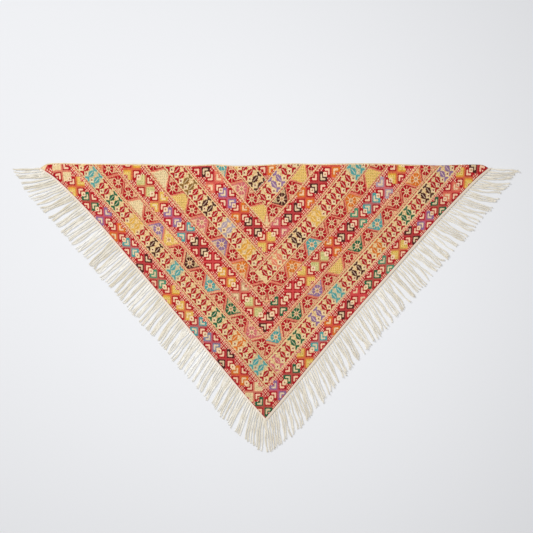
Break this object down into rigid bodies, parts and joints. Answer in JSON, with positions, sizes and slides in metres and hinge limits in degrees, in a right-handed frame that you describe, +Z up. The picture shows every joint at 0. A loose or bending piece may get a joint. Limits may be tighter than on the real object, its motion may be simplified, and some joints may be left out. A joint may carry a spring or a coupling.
{
  "type": "triangular fringed shawl",
  "caption": "Flat triangular shawl of counted-thread stitched cotton, with a cream yarn fringe on a header tape along its slanted sides.",
  "frame": {"origin": "on the surface it lies on, under the middle of the whole shawl's box, fringe included", "axes": "+X along the top edge towards the wearer's other shoulder, +Y from the point towards the top edge, +Z up from the surface"},
  "size_m": [1.6878, 0.9764, 0.007],
  "materials": {
    "stitched_cotton": "dense counted-thread stitching in red, cream and mixed accent colours, matt with a soft sheen",
    "fringe_yarn_left": "undyed plied cotton yarn, matt",
    "fringe_yarn_right": "undyed plied cotton yarn, matt"
  },
  "bodies": {
    "root": {"cloth": "stitched_cotton", "fringe_left": "fringe_yarn_left", "fringe_right": "fringe_yarn_right"}
  },
  "joints": []
}
